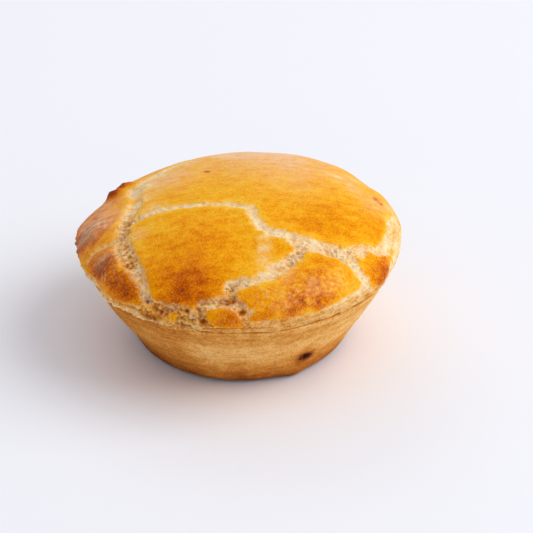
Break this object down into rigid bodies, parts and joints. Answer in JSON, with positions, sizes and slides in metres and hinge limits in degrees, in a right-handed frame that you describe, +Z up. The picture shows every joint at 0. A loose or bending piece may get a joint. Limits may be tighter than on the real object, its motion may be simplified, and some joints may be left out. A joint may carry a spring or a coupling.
{
  "type": "chicken empada",
  "caption": "Small round savoury pie with a flat base, flaring wall and cracked, egg-glazed domed lid.",
  "frame": {"origin": "middle of the flat base, on the surface that the pie stands on", "axes": "+Z up through the lid; -Y is the side that the picture looks at, and +X is to its right"},
  "size_m": [0.0761, 0.0754, 0.0371],
  "materials": {
    "crust": "satin egg glaze on the lid, matt on the wall"
  },
  "bodies": {
    "root": {"empada": "crust"}
  },
  "joints": []
}
